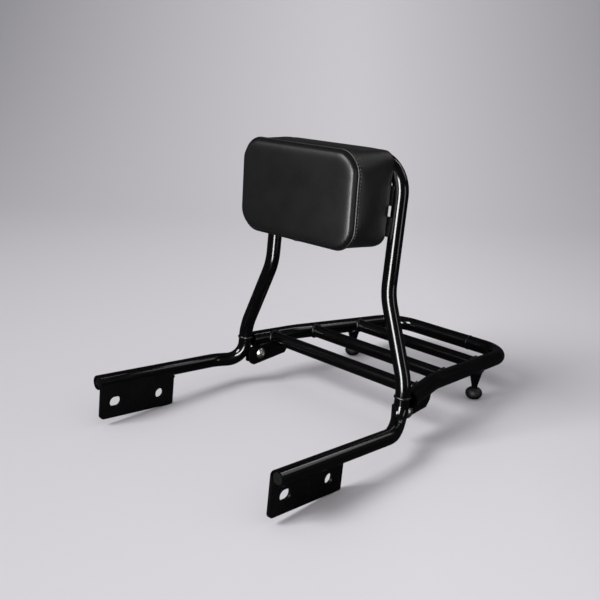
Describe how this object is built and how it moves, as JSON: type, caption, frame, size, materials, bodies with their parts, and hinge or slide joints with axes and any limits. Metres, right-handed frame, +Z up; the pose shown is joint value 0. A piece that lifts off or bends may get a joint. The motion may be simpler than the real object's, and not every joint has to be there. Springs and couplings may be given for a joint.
{
  "type": "motorcycle backrest with luggage rack",
  "caption": "Tubular passenger backrest with a padded upright hoop, side rails with slotted mounting plates and a luggage rack that slopes down behind.",
  "frame": {"origin": "on the floor under the middle of the part's box, with the part standing on the rear lower corners of its plates and on its two rubber feet", "axes": "+Z up, -Y to the front of the motorcycle, which the pad faces, +X to its left side"},
  "size_m": [0.346, 0.5588, 0.3683],
  "materials": {
    "frame": "gloss black powder coat",
    "plates": "gloss black powder coat on sheet",
    "welds": "painted weld bead",
    "fasteners": "stainless steel",
    "rubber": "moulded black rubber",
    "plugs": "matt black plastic",
    "board": "plain plywood",
    "foam": "open-cell foam",
    "vinyl": "satin black vinyl"
  },
  "bodies": {
    "root": {"left_side_rail": "frame", "right_side_rail": "frame", "backrest_hoop": "frame", "rack_loop_left": "frame", "rack_loop_right": "frame", "rack_bar_front": "frame", "rack_bar_middle": "frame", "rack_bar_rear": "frame", "left_mounting_plate": "plates", "right_mounting_plate": "plates", "left_hoop_tab": "plates", "right_hoop_tab": "plates", "left_rack_plate": "plates", "right_rack_plate": "plates", "upper_pad_strap": "plates", "lower_pad_strap": "plates", "left_foot_post": "plates", "right_foot_post": "plates", "left_joint_weld": "welds", "right_joint_weld": "welds", "left_rack_screw": "fasteners", "right_rack_screw": "fasteners", "left_sleeve_nut": "fasteners", "right_sleeve_nut": "fasteners", "left_screw_washer": "fasteners", "right_screw_washer": "fasteners", "pad_screws": "fasteners", "pad_washers": "fasteners", "pad_inserts": "fasteners", "left_rubber_foot": "rubber", "right_rubber_foot": "rubber", "left_rail_plug": "plugs", "right_rail_plug": "plugs", "pad_board": "board", "pad_foam": "foam", "pad_cover": "vinyl", "pad_piping": "vinyl"}
  },
  "joints": []
}
